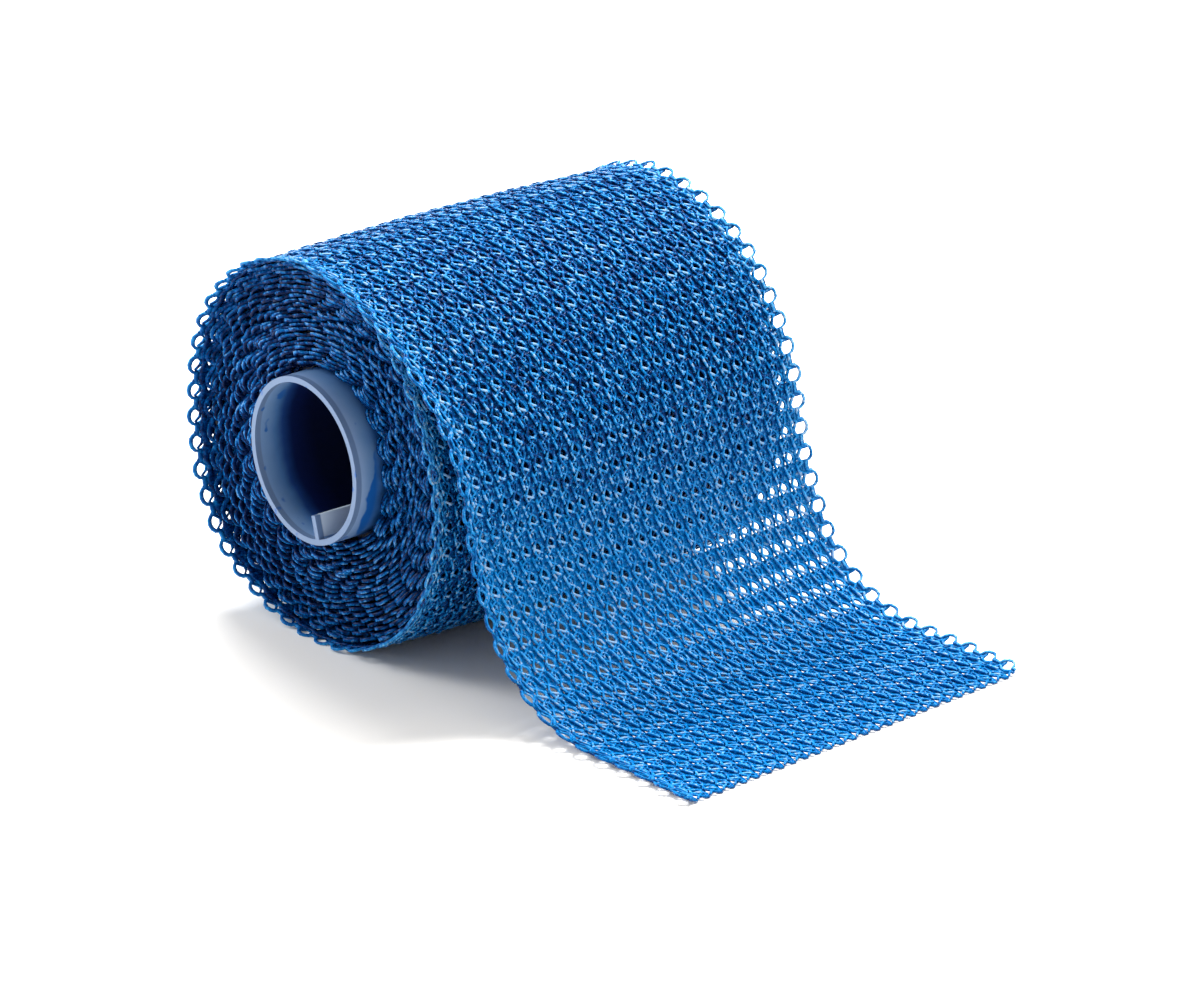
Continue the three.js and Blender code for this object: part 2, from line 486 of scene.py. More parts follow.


# %% [markdown]
# A wet yarn settles flat, so its section is a square turned flat side up and stretched. Four sides are
# enough at this size. The two upper corners are marked, because the glints are painted only there, on the
# side that faces out, and each point keeps its place on the flat strip, which the finish reads later.

# %% Giving the yarns their thickness
CORNER_RADIUS = 0.68
UPPER_CORNERS_AFTER = 1


def thickened(tree, given, lines):
    upright = add(tree, "GeometryNodeSetCurveNormal", {"Curve": lines}, mode="Z_UP")
    square = add(tree, "GeometryNodeCurvePrimitiveCircle", {
        "Resolution": given["Sides"], "Radius": CORNER_RADIUS})
    flat_side_up = add(tree, "GeometryNodeTransform", {"Geometry": square, "Rotation": (0, 0, math.pi / 4)})
    corner = add(tree, "GeometryNodeInputIndex")
    # The upper corners are where the finish paints its glints and sparkles.
    is_upper = add(tree, "FunctionNodeCompare", {
        "A": corner, "B": UPPER_CORNERS_AFTER}, data_type="INT", operation="GREATER_THAN")
    marked = add(tree, "GeometryNodeStoreNamedAttribute", {
        "Geometry": flat_side_up, "Name": "upper", "Value": is_upper}, data_type="FLOAT", domain="POINT")
    size = add(tree, "ShaderNodeCombineXYZ", {
        "X": given["Yarn width"], "Y": given["Yarn thickness"], "Z": 1.0})
    section = add(tree, "GeometryNodeTransform", {"Geometry": marked, "Scale": size})
    yarns = add(tree, "GeometryNodeCurveToMesh", {
        "Curve": upright, "Profile Curve": section, "Fill Caps": True})
    place = add(tree, "GeometryNodeInputPosition")
    return add(tree, "GeometryNodeStoreNamedAttribute", {
        "Geometry": yarns, "Name": "flat", "Value": place}, data_type="FLOAT_VECTOR", domain="POINT")


print("a corner stands", CORNER_RADIUS, "of the width from the yarn's middle")


# %% [markdown]
# Last, the flat strip is bent onto the path. Its length is followed along the path, its height is set off
# outwards, and its width goes across the table. A strip bent last keeps its yarns lying flat on the roll.
# The height gets the crown in the middle of the strip, and a curl that lifts the edge loops, except on
# the underside of the roll, where the loops would press through the table.

# %% Bending the strip onto its path
CURL = {"from": 35.2, "to": 38, "most": 1.0}
UNDERSIDE = {"no_curl": -0.95, "full_curl": -0.6}
LOWEST = 0.1


def height_on_path(tree, flat, share, crown, outward):
    squared = add(tree, "ShaderNodeMath", {0: share, 1: share}, operation="MULTIPLY")
    crowned = add(tree, "ShaderNodeMath", {0: squared, 1: -4.0, 2: 1.0}, operation="MULTIPLY_ADD")
    faces = add(tree, "ShaderNodeSeparateXYZ", {"Vector": outward})
    most = add(tree, "ShaderNodeMapRange", {
        "Value": faces.outputs["Z"], "From Min": UNDERSIDE["no_curl"], "From Max": UNDERSIDE["full_curl"],
        "To Max": CURL["most"] * MM})
    from_middle = add(tree, "ShaderNodeMath", {0: flat.outputs["Y"]}, operation="ABSOLUTE")
    curl = add(tree, "ShaderNodeMapRange", {
        "Value": from_middle, "From Min": CURL["from"] * MM, "From Max": CURL["to"] * MM, "To Max": most})
    curled = add(tree, "ShaderNodeMath", {0: flat.outputs["Z"], 1: curl}, operation="ADD")
    return add(tree, "ShaderNodeMath", {0: crowned, 1: crown, 2: curled}, operation="MULTIPLY_ADD")


def place_across(tree, flat, share, middle, drawn_in):
    to_far_edge = add(tree, "ShaderNodeMath", {0: share, 1: 0.5}, operation="ADD")
    inwards = add(tree, "ShaderNodeMath", {0: to_far_edge, 1: drawn_in}, operation="MULTIPLY")
    placed = add(tree, "ShaderNodeMath", {0: middle, 1: flat.outputs["Y"]}, operation="ADD")
    return add(tree, "ShaderNodeMath", {0: placed, 1: inwards}, operation="SUBTRACT")


def bent(tree, given, yarns):
    place = add(tree, "GeometryNodeInputPosition")
    flat = add(tree, "ShaderNodeSeparateXYZ", {"Vector": place})
    route = add(tree, "GeometryNodeObjectInfo", {"Object": given["Path"]})
    line = add(tree, "GeometryNodeMeshToCurve", {"Mesh": route.outputs["Geometry"]})
    found = {}
    for attribute, kind in (("lay", "FLOAT_VECTOR"), ("drawn_in", "FLOAT")):
        named = add(tree, "GeometryNodeInputNamedAttribute", {"Name": attribute}, data_type=kind)
        found[attribute] = add(tree, "GeometryNodeSampleCurve", {
            "Curves": line, "Value": named.outputs["Attribute"], "Length": flat.outputs["X"]},
            mode="LENGTH", data_type=kind)
    reached = found["lay"]
    lies = add(tree, "ShaderNodeSeparateXYZ", {"Vector": reached.outputs["Value"]})
    outward = add(tree, "ShaderNodeVectorMath", {
        0: (0, 1, 0), 1: reached.outputs["Tangent"]}, operation="CROSS_PRODUCT")
    share = add(tree, "ShaderNodeMath", {0: flat.outputs["Y"], 1: given["Tape width"]}, operation="DIVIDE")
    height = height_on_path(tree, flat, share, lies.outputs["Z"], outward)
    across = place_across(tree, flat, share, lies.outputs["Y"], found["drawn_in"].outputs["Value"])
    raised = add(tree, "ShaderNodeVectorMath", {0: outward, "Scale": height}, operation="SCALE")
    skewed = add(tree, "ShaderNodeMath", {0: share, 1: lies.outputs["X"]}, operation="MULTIPLY")
    back = add(tree, "ShaderNodeMath", {0: skewed, 1: -1.0}, operation="MULTIPLY")
    side = add(tree, "ShaderNodeCombineXYZ", {"X": back, "Y": across})
    on_path = add(tree, "ShaderNodeVectorMath", {0: reached.outputs["Position"], 1: side}, operation="ADD")
    wound = add(tree, "ShaderNodeVectorMath", {0: on_path, 1: raised}, operation="ADD")
    on_table = add(tree, "ShaderNodeVectorMath", {
        0: wound, 1: (-10, -10, LOWEST * MM)}, operation="MAXIMUM")
    return add(tree, "GeometryNodeSetPosition", {"Geometry": yarns, "Position": on_table})


print("edges curl up by", CURL["most"], "mm")


# %% [markdown]
# The four steps make one tree. Everything that differs from yarn to yarn is an input of it with a name, so
# the same tree knits them all. It ends with real triangles, not instances, and sets their finish.

# %% The knitting tree
KNOBS = {
    "Object": ["Cell", "Path"],
    "Int": ["Repeats", "Wales", "Sides"],
    "Float": [
        "First repeat", "First wale", "Repeat", "Wale", "Yarn width", "Yarn thickness", "Shake", "Wander",
        "Seed", "Tape width",
    ],
    "Material": ["Finish"],
}


def knitting_tree():
    tree = bpy.data.node_groups.new("knit_and_wind", "GeometryNodeTree")
    tree.interface.new_socket("Geometry", in_out="INPUT", socket_type="NodeSocketGeometry")
    tree.interface.new_socket("Geometry", in_out="OUTPUT", socket_type="NodeSocketGeometry")
    for kind, labels in KNOBS.items():
        for label in labels:
            tree.interface.new_socket(label, in_out="INPUT", socket_type="NodeSocket" + kind)
    given = add(tree, "NodeGroupInput").outputs
    lines = shaken(tree, given, laid_out(tree, given))
    wound = bent(tree, given, thickened(tree, given, lines))
    smooth = add(tree, "GeometryNodeSetShadeSmooth", {"Geometry": wound})
    real = add(tree, "GeometryNodeRealizeInstances", {"Geometry": smooth})
    finished = add(tree, "GeometryNodeSetMaterial", {"Geometry": real, "Material": given["Finish"]})
    add(tree, "NodeGroupOutput", {"Geometry": finished})
    return tree


knit = knitting_tree()
print("nodes in the knitting tree:", len(knit.nodes))


# %% [markdown]
# A modifier takes its values by the identifiers of its sockets. The result is turned to a plain mesh, so
# that nothing is left to evaluate and the piece can be exported as it is.

# %% From tree to plain mesh
def grow(name, tree, **values):
    base = in_scene(name + "_base", bpy.data.meshes.new(name + "_base"))
    modifier = base.modifiers.new("grow", "NODES")
    modifier.node_group = tree
    labels = {item.name.lower().replace(" ", "_"): item.identifier
              for item in tree.interface.items_tree if item.in_out == "INPUT"}
    for label, value in values.items():
        modifier[labels[label]] = value
    evaluated = base.evaluated_get(bpy.context.evaluated_depsgraph_get())
    made = in_scene(name, bpy.data.meshes.new_from_object(evaluated))
    bpy.data.objects.remove(base)
    faces = sum(len(p.vertices) - 2 for p in made.data.polygons)
    print(f"{name}: {faces} triangles")
    return made


print("identifiers:", {item.name: item.identifier for item in knit.interface.items_tree})


# %% [markdown]
# Glass yarn, wet with resin. Glass fibre takes no dye, so the blue is in the resin, which is hard and
# smooth enough to glint. What the eye reads is depth: navy between the yarns, royal blue on them, and pale
# where resin stands proud. The navy is painted shade and the pale is painted highlight. So the colour
# follows one value, the tone, and a ramp turns it to blues.
#
# The tone starts from a yarn's height over the ground: a yarn that lies lower is painted darker, a painted
# shade in the depths of the knit. Two noises make it uneven. One, of about 1 mm, is the speckle of the
# filaments, and the other, of about 4 mm, is where more resin or less has gathered.

# %% The tone of a yarn, with painted shade
# Painted shade: lower yarns get a darker tone.
DEPTH_SHADE = {"low": -0.35, "high": 0.45, "dark": 0.02, "light": 0.42}
SPECKLE = {"scale": 1100.0, "strength": 1.7}
PATCHES = 260.0


def new_material(name):
    made = bpy.data.materials.new(name)
    made.use_nodes = True
    return made, made.node_tree, made.node_tree.nodes["Principled BSDF"]


def set_stops(ramp, stops):
    """Give a colour ramp its stops, each a place from 0 to 1 and a hex value."""
    elements = ramp.color_ramp.elements
    while len(elements) < len(stops):
        elements.new(0.5)
    for element, (place, code) in zip(elements, stops):
        element.position = place
        element.color = colour(code)


def tone_with_painted_shade(tree, here, height, speckle, patchy):
    # Painted shade: the tone is darker the lower the yarn lies.
    raised = add(tree, "ShaderNodeMapRange", {
        "Value": height, "From Min": DEPTH_SHADE["low"] * MM, "From Max": DEPTH_SHADE["high"] * MM,
        "To Min": DEPTH_SHADE["dark"], "To Max": DEPTH_SHADE["light"]})
    speckled = add(tree, "ShaderNodeMath", {
        0: speckle, 1: SPECKLE["strength"], 2: -SPECKLE["strength"] / 2}, operation="MULTIPLY_ADD")
    fine = add(tree, "ShaderNodeMath", {0: raised, 1: speckled}, operation="ADD")
    patches = add(tree, "ShaderNodeTexNoise", {"Vector": here, "Scale": PATCHES, "Detail": 1.0})
    more_or_less = add(tree, "ShaderNodeMath", {
        0: patches.outputs["Fac"], 1: 2.0, 2: -1.0}, operation="MULTIPLY_ADD")
    return add(tree, "ShaderNodeMath", {0: more_or_less, 1: patchy, 2: fine}, operation="MULTIPLY_ADD")


print("speckle of", round(1000 / SPECKLE["scale"], 1), "mm and patches of", round(1000 / PATCHES, 1), "mm")


# %% [markdown]
# Where the light gets at the yarns from behind, the tape is painted lighter, a painted backlight: near its
# edges, and on the outer ones of the imported turns. The free end is a single layer, so light passes through
# all of it. There the tones are painted closer together, towards one bright blue, which begins where the
# strip has left the roll.

# %% Painted light where it comes through
# Painted backlight: where the tape is painted lighter, near its edges and on the outer packed turns.
EDGE_BAND = {"from": 31, "to": 37}
OUTER_TURNS = {"from": 330, "to": 800}
LEAVES_ROLL = {"from": 90, "to": 50}
LIES_FLAT = {"from": 50, "to": 25}
# Painted backlight: the tone that the free end is painted towards, in the air and lying on the table.
THROUGH = {"in_the_air": 0.72, "lying": 0.58}


def painted_backlight(tree, flat, tone, outer_backlight, edge_backlight, free_end_backlight):
    outer = add(tree, "ShaderNodeMapRange", {
        "Value": flat.outputs["X"], "From Min": OUTER_TURNS["from"] * MM, "From Max": OUTER_TURNS["to"] * MM,
        "To Min": outer_backlight, "To Max": 0.0})
    from_middle = add(tree, "ShaderNodeMath", {0: flat.outputs["Y"]}, operation="ABSOLUTE")
    edge = add(tree, "ShaderNodeMapRange", {
        "Value": from_middle, "From Min": EDGE_BAND["from"] * MM, "From Max": EDGE_BAND["to"] * MM,
        "To Max": edge_backlight})
    lifts = add(tree, "ShaderNodeMath", {0: outer, 1: edge}, operation="ADD")
    lifted = add(tree, "ShaderNodeMath", {0: tone, 1: lifts}, operation="ADD")
    single = add(tree, "ShaderNodeMapRange", {
        "Value": flat.outputs["X"], "From Min": LEAVES_ROLL["from"] * MM, "From Max": LEAVES_ROLL["to"] * MM,
        "To Max": free_end_backlight}, interpolation_type="SMOOTHSTEP")
    through = add(tree, "ShaderNodeMapRange", {
        "Value": flat.outputs["X"], "From Min": LIES_FLAT["to"] * MM, "From Max": LIES_FLAT["from"] * MM,
        "To Min": THROUGH["lying"], "To Max": THROUGH["in_the_air"]}, interpolation_type="SMOOTHSTEP")
    return add(tree, "ShaderNodeMix", {"Factor": single, "A": lifted, "B": through}).outputs["Result"]


print("a single layer up to", LEAVES_ROLL["to"], "mm from the cut end")


# %% [markdown]
# Two kinds of painted highlight go on the upper corners alone. A glint follows the value on the yarn's line
# and is broken up by the speckle. A sparkle is a painted spot of highlight, under 1 mm, anywhere on the
# yarn. Both are calmer on the free end.

# %% Painted glints and sparkles
SPARKLE_SPOTS = {"scale": 1500.0, "from": 0.57, "to": 0.65, "strength": 0.45}
FLECKS = {"from": 0.4, "to": 0.53, "least": 0.1}
CALM = {"from": 90, "to": 45, "left": 0.75}


def highlights(tree, here, along, speckle, glint_share):
    bright = add(tree, "ShaderNodeAttribute", attribute_name="glint")
    upper = add(tree, "ShaderNodeAttribute", attribute_name="upper")
    flecks = add(tree, "ShaderNodeMapRange", {
        "Value": speckle, "From Min": FLECKS["from"], "From Max": FLECKS["to"], "To Min": FLECKS["least"]})
    on_top = add(tree, "ShaderNodeMath", {
        0: bright.outputs["Fac"], 1: upper.outputs["Fac"]}, operation="MULTIPLY")
    glint = add(tree, "ShaderNodeMath", {0: on_top, 1: flecks}, operation="MULTIPLY")
    # Painted sparkle: spots of highlight where a fine noise is high.
    painted_sparkles = add(tree, "ShaderNodeTexNoise", {"Vector": here, "Scale": SPARKLE_SPOTS["scale"], "Detail": 1.0})
    sparkle_spot = add(tree, "ShaderNodeMapRange", {
        "Value": painted_sparkles.outputs["Fac"], "From Min": SPARKLE_SPOTS["from"], "From Max": SPARKLE_SPOTS["to"]})
    sparkle = add(tree, "ShaderNodeMath", {0: sparkle_spot, 1: upper.outputs["Fac"]}, operation="MULTIPLY")
    sparkling = add(tree, "ShaderNodeMath", {0: sparkle, 1: SPARKLE_SPOTS["strength"]}, operation="MULTIPLY")
    shining = add(tree, "ShaderNodeMath", {
        0: glint, 1: glint_share, 2: sparkling}, operation="MULTIPLY_ADD")
    calm = add(tree, "ShaderNodeMapRange", {
        "Value": along, "From Min": CALM["from"] * MM, "From Max": CALM["to"] * MM,
        "To Min": 1.0, "To Max": CALM["left"]})
    return add(tree, "ShaderNodeMath", {0: shining, 1: calm}, operation="MULTIPLY")


print("crumbs of resin of", round(1000 / SPARKLE_SPOTS["scale"], 1), "mm")


# %% [markdown]
# The finish puts these together. Its relief is the bundle of filaments in the yarn. Real ones are about a
# hundredth of a millimetre thick, too fine to show, so the noise that stands for them is far coarser. The
# resin's index of refraction is 1.5, with a low mirror share, because the filaments break up its surface.

# %% Resin-wet glass yarn
FILAMENTS = {"scale": 2200.0, "depth": 0.12, "strength": 0.6}


def resin_yarn(name, tones, glint_share, free_end_backlight=0.0, patchy=0.2, outer_backlight=0.0, edge_backlight=0.0):
    """Tones go from a painted shade in the depth between the yarns to a painted glint on top of them."""
    made, tree, shader = new_material(name)
    here = add(tree, "ShaderNodeAttribute", attribute_name="flat").outputs["Vector"]
    flat = add(tree, "ShaderNodeSeparateXYZ", {"Vector": here})
    speckle = add(tree, "ShaderNodeTexNoise", {
        "Vector": here, "Scale": SPECKLE["scale"], "Detail": 4.0, "Roughness": 0.75}).outputs["Fac"]
    uneven = tone_with_painted_shade(tree, here, flat.outputs["Z"], speckle, patchy)
    lit = painted_backlight(tree, flat, uneven, outer_backlight, edge_backlight, free_end_backlight)
    shine = highlights(tree, here, flat.outputs["X"], speckle, glint_share)
    tone = add(tree, "ShaderNodeMath", {0: lit, 1: shine}, operation="ADD")
    ramp = add(tree, "ShaderNodeValToRGB", {"Fac": tone})
    set_stops(ramp, tones)
    tree.links.new(ramp.outputs["Color"], shader.inputs["Base Color"])
    filaments = add(tree, "ShaderNodeTexNoise", {
        "Vector": here, "Scale": FILAMENTS["scale"], "Detail": 3.0, "Roughness": 0.7})
    relief = add(tree, "ShaderNodeBump", {
        "Height": filaments.outputs["Fac"], "Strength": FILAMENTS["strength"],
        "Distance": FILAMENTS["depth"] * MM})
    tree.links.new(relief.outputs["Normal"], shader.inputs["Normal"])
    shader.inputs["Roughness"].default_value = 0.25
    shader.inputs["IOR"].default_value = 1.5
    shader.inputs["Specular IOR Level"].default_value = 0.07
    return made


print("relief of the filaments:", FILAMENTS["depth"], "mm")


# %% [markdown]
# Four versions of it are needed: lighter and darker copies, which are painted light and shade. The wound
# yarn has the whole range from navy to pale blue. The edge eyelets get lighter darks, a painted backlight,
# and lighter still where they are thin and lit from behind. The imported turns see little light, so they get
# darker tones, a painted shade, and keep more of the dark patches.

# %% The four yarn finishes
wound_yarn = resin_yarn("resin_wet_glass_yarn", [
    (0.0, "#001036"), (0.22, "#002E68"), (0.42, "#005294"), (0.62, "#047CC4"), (0.82, "#3E9AD6"),
    (1.0, "#86A8CC")], 0.55, free_end_backlight=0.68, edge_backlight=0.2)
# Lighter copies for the eyelets: a painted backlight.
edge_yarn_painted_light = resin_yarn("edge_glass_yarn", [
    (0.0, "#00306C"), (0.35, "#0462AA"), (0.7, "#1C8CD0"), (1.0, "#80ACD8")], 0.4)
thin_edge_yarn = resin_yarn("backlit_edge_yarn", [
    (0.0, "#0A4E92"), (0.35, "#1C7CC0"), (0.7, "#4CA4DC"), (1.0, "#A4C4E0")], 0.5)
# A darker copy for the packed turns: a painted shade.
packed_yarn_painted_dark = resin_yarn("packed_glass_yarn", [
    (0.0, "#001238"), (0.3, "#002E66"), (0.55, "#0058A2"), (0.8, "#187CC4"), (1.0, "#6C9CD0")],
    0.5, patchy=0.4, outer_backlight=0.2)
print("finishes:", [made.name for made in (wound_yarn, edge_yarn_painted_light, thin_edge_yarn, packed_yarn_painted_dark)])


# %% [markdown]
# The free end and the outer turn show every yarn. Each kind of yarn is a piece of its own, because each has
# its own width and because no piece may grow too heavy. The bars, loops and threads are shaken twice as much
# as the web and legs that hold them, and the far eyelets are thinner than the near ones.

# %% Knitting the free end and the outer turn
YARN_SIDES = 4

# How many side by side, the place of the first, and the yarn's width, thickness and shake.
YARNS = {
    "web": (WALES, -LAST_WALE, 0.92, 0.3, 0.3),
    "left": (WALES, -LAST_WALE, 0.4, 0.34, 0.3),
    "right": (WALES, -LAST_WALE, 0.4, 0.34, 0.3),
    "bars": (WALES - 1, -LAST_WALE, 0.4, 0.32, 0.6),
    "loops": (WALES, -LAST_WALE, 0.38, 0.34, 0.6),
    "threads": (WALES - 1, -LAST_WALE, 0.17, 0.2, 0.6),
    "near_eyelets": (1, -EYELET_MIDDLE, 0.58, 0.45, 0.3),
    "far_eyelets": (1, EYELET_MIDDLE, 0.38, 0.34, 0.3),
}


def knitted(name, cell, run, yarn, finish, wander=0.0, seed=1.0):
    """One kind of yarn over a run of the tape, which is its start in mm and its number of repeats."""
    first, repeats = run
    wales, first_wale, width, thickness, shake = yarn
    return grow(name, knit, cell=cells[cell], path=path, repeats=repeats, wales=wales,
                first_repeat=first * MM, first_wale=first_wale * MM, repeat=REPEAT * MM, wale=WALE * MM,
                yarn_width=width * MM, yarn_thickness=thickness * MM, shake=shake * MM,
                wander=wander * MM, seed=seed, tape_width=TAPE["width"] * MM, sides=YARN_SIDES,
                finish=finish)


def strip(part, run, near_finish):
    finishes = {"near_eyelets": near_finish, "far_eyelets": thin_edge_yarn}
    return [knitted(part + "_" + cell, cell, run, yarn, finishes.get(cell, wound_yarn))
            for cell, yarn in YARNS.items()]


FREE_REPEATS = int(START_OF_ROLL / REPEAT)
TURN_REPEATS = int((ONE_TURN_IN - START_OF_ROLL) / REPEAT) + 2
# The near eyelets take a lighter finish, a painted backlight, and those of the outer turn the lightest.
free_end = strip("loose_end", (START_OF_ROLL - FREE_REPEATS * REPEAT, FREE_REPEATS), edge_yarn_painted_light)
outer_turn = strip("outer_turn", (START_OF_ROLL, TURN_REPEATS), thin_edge_yarn)
print("pieces:", len(free_end) + len(outer_turn))


# %% [markdown]
# Of the turns below only the two ends show, packed tight: the tips of the eyelets as short dashes and the
# legs of the last wale behind them. Stripes painted on the solid would end in a straight line. These yarns
# don't, because each turn was wound with a hand's unevenness and the strip wanders.

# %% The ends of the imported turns
# Width, thickness and shake.
TIP_YARN = (0.56, 0.56, 1.4)
LEG_YARN = (0.7, 0.5, 0.9)
INNER_START = START_OF_ROLL + TURN_REPEATS * REPEAT
inner_run = (INNER_START, int((ALONG[-1] - INNER_START) / REPEAT))
packed_turns = []
for side, sign in (("near", -1), ("far", 1)):
    uneven = {"wander": 1.5, "seed": 6.0 + sign}
    tips = (1, sign * EYELET_MIDDLE, *TIP_YARN)
    legs = (1, sign * LAST_WALE, *LEG_YARN)
    packed_turns += [
        knitted(f"turns_{side}_tips", side + "_tips", inner_run, tips, packed_yarn_painted_dark, **uneven),
        knitted(f"turns_{side}_legs", "low_legs", inner_run, legs, packed_yarn_painted_dark, **uneven),
    ]
print("repeats in the packed turns:", inner_run[1])


# %% [markdown]
# Nothing is seen of the inside of the roll but darkness, so the turns between the two ends are one dark
# body that stops short of the outer turn and of the ends. It is a ring of profiles round the core, each
# with the near end's points from the core outwards and then the far end's points back.
#
# Its finish is resin in shadow: two navies in faint bands, as turns of wet tape are where no light gets in.

# %% The dark inside of the roll
INSIDE = {"inset": 1.3, "half": 33.5, "over_core": 0.2, "over_table": 0.3, "step": 4.0}
LAYERS = [1.0, 1.3, 1.73, 2.2, 3, 4, 6, 9, 13, 18, TURNS]


def inside_body(name, finish):
    angles = np.arange(FIRST_TURN["at"], FIRST_TURN["at"] + 360, INSIDE["step"])[:, None]
    begun = (angles - FIRST_TURN["at"]) / 360
    turn = np.maximum(np.array(LAYERS) - 1 + begun, 0)
    share = np.minimum(share_wound(turn), 1)
    radius = INNERMOST + (outline_at(angles) - INNERMOST) * (1 - share) - INSIDE["inset"]
    radius = np.maximum(radius, CORE["outer"] - INSIDE["over_core"])
    middle = INNER_MIDDLE - smooth_lookup(SLID, turn)
    drawn = smooth_lookup(DRAWN_IN, turn) * (INSIDE["half"] / TAPE["width"] + 0.5)
    near = middle - INSIDE["half"]
    far = middle + INSIDE["half"] - drawn
    radii = np.concatenate([radius[:, ::-1], radius], 1)
    x = radii * np.cos(np.radians(angles))
    y = np.concatenate([near[:, ::-1], far], 1)
    z = np.maximum(CORE["axis_at"] + radii * np.sin(np.radians(angles)), INSIDE["over_table"])
    points = np.stack([x, y, z], 2).reshape(-1, 3) * MM
    count, size = radii.shape
    faces = []
    for i in range(count):
        here, there = i * size, (i + 1) % count * size
        for j in range(size):
            after = (j + 1) % size
            faces.append((here + j, there + j, there + after, here + after))
    mesh = bpy.data.meshes.new(name)
    mesh.from_pydata(points.tolist(), [], faces)
    mesh.materials.append(finish)
    return in_scene(name, mesh)


def resin_in_shadow():
    made, tree, shader = new_material("resin_in_shadow")
    where = add(tree, "ShaderNodeTexCoord").outputs["Object"]
    bands = add(tree, "ShaderNodeTexWave", {
        "Vector": where, "Scale": 320.0, "Distortion": 6.0, "Detail": 2.0}, bands_direction="X")
    shades = add(tree, "ShaderNodeMix", {
        "Factor": bands.outputs["Fac"], "A": colour("#010A22"), "B": colour("#032456")}, data_type="RGBA")
    tree.links.new(shades.outputs[2], shader.inputs["Base Color"])
    shader.inputs["Roughness"].default_value = 0.5
    return made


inside = inside_body("inside_of_the_roll", resin_in_shadow())
print("faces on the inside:", len(inside.data.polygons))


# %% [markdown]
# The core is a moulded tube of milky polyethylene. A few millimetres at its ends stand out of the tape and
# let light through, so they are painted pale, a painted light. Further in, the wet tape lies right behind the
# thin wall and the bore is painted darker, down to navy: partly the tape's blue through the wall and partly
# painted shade deep in the bore. The rib inside stays pale for longer, because it stands clear of the tape;
# near the middle it too is painted dark, a painted shade.
#
# So each wall has its own colours by the distance from the core's middle, and a noise makes their limits
# ragged. Which wall a point is on shows in its distance from the core's axis. That takes no image and
# no unwrapping, and leaves no seams.

# %% The core's walls
# Painted light and shade: pale near the ends of the core, navy towards the middle of the bore.
BORE = [
    (31.0, "#050E30"), (35.5, "#08184A"), (37.4, "#1C407E"), (38.9, "#4C76AA"), (40.0, "#6488B6"),
    (42.0, "#7898C2"),
]
# The outside is darker blue towards the tape.
OUTSIDE = [(37.0, "#1E5498"), (39.5, "#6086B4"), (42.0, "#86A2C8")]
RIB = [(26.0, "#0A1430"), (32.0, "#B0C0D0"), (42.0, "#C8D6E4")]
# The rim's end face is painted a darker grey-blue, a painted shade.
RIM_PAINTED_SHADE = "#667EA2"
RESIN = "#1458A6"
RAGGED = {"scale": 160.0, "by": 2.0}

# By the distance from the axis or from the middle: where there is none of it yet, and where it is whole.
LIMITS = {"outside": (13.6, 13.9), "rib": (13.1, 12.9), "rim": (40.7, 40.9), "drops": (36.5, 38)}


def core_places(tree, where):
    """Where a point is: its offset from the axis, its distance from it, and from the core's middle."""
    parts = add(tree, "ShaderNodeSeparateXYZ", {"Vector": where})
    up = add(tree, "ShaderNodeMath", {0: parts.outputs["Z"], 1: CORE["axis_at"] * MM}, operation="SUBTRACT")
    around = add(tree, "ShaderNodeCombineXYZ", {"X": parts.outputs["X"], "Y": up})
    radius = add(tree, "ShaderNodeVectorMath", {0: around}, operation="LENGTH")
    from_middle = add(tree, "ShaderNodeMath", {
        0: parts.outputs["Y"], 1: -INNER_MIDDLE * MM}, operation="ADD")
    out = add(tree, "ShaderNodeMath", {0: from_middle}, operation="ABSOLUTE")
    return around, radius.outputs["Value"], out


def wall_colour(tree, place, stops):
    first, last = stops[0][0] * MM, stops[-1][0] * MM
    share = add(tree, "ShaderNodeMapRange", {"Value": place, "From Min": first, "From Max": last})
    ramp = add(tree, "ShaderNodeValToRGB", {"Fac": share})
    set_stops(ramp, [((at * MM - first) / (last - first), code) for at, code in stops])
    return ramp.outputs["Color"]


print("stops on the bore:", len(BORE))


# %% [markdown]
# Some resin has got on the core. It has dried in drops of 1 or 2 mm, and one run has spread along the
# tape's edge on the low side. The drops are where a noise is high. The run is where the distance from the
# rim and the place round the core come together, roughened by the same noise as the walls' limits.

# %% Drops and a run of resin
DROPS = {"scale": 420.0, "from": 0.66, "to": 0.72, "most": 0.85}
RUN = {"towards": (0.94, -0.34, 0), "rough": 8, "along": -1.6, "none_at": -46.6, "all_at": -46.1}


def resin_on_core(tree, where, around, ragged, cloudy, shares):
    drops = add(tree, "ShaderNodeTexNoise", {"Vector": where, "Scale": DROPS["scale"], "Detail": 1.0})
    stained = add(tree, "ShaderNodeMapRange", {
        "Value": drops.outputs["Fac"], "From Min": DROPS["from"], "From Max": DROPS["to"],
        "To Max": DROPS["most"]})
    low_side = add(tree, "ShaderNodeVectorMath", {0: around, 1: RUN["towards"]}, operation="DOT_PRODUCT")
    rough = add(tree, "ShaderNodeMath", {
        0: cloudy, 1: RUN["rough"] * MM, 2: low_side.outputs["Value"]}, operation="MULTIPLY_ADD")
    behind_rim = add(tree, "ShaderNodeMath", {
        0: ragged, 1: RUN["along"], 2: rough}, operation="MULTIPLY_ADD")
    run = add(tree, "ShaderNodeMapRange", {
        "Value": behind_rim, "From Min": RUN["none_at"] * MM, "From Max": RUN["all_at"] * MM})
    blots = add(tree, "ShaderNodeMath", {0: stained, 1: run}, operation="MAXIMUM")
    shown = add(tree, "ShaderNodeMath", {0: blots, 1: shares["drops"]}, operation="MULTIPLY")
    off_rib = add(tree, "ShaderNodeMath", {0: 1.0, 1: shares["rib"]}, operation="SUBTRACT")
    return add(tree, "ShaderNodeMath", {0: shown, 1: off_rib}, operation="MULTIPLY")


print("drops of resin of up to", round(1000 / DROPS["scale"], 1), "mm")


# %% [markdown]
# The plastic is satin: moulded against a fine-grained steel, with a faint relief of about 1 mm.

# %% Milky polyethylene
GRAIN = {"scale": 900.0, "depth": 0.05, "strength": 0.25}


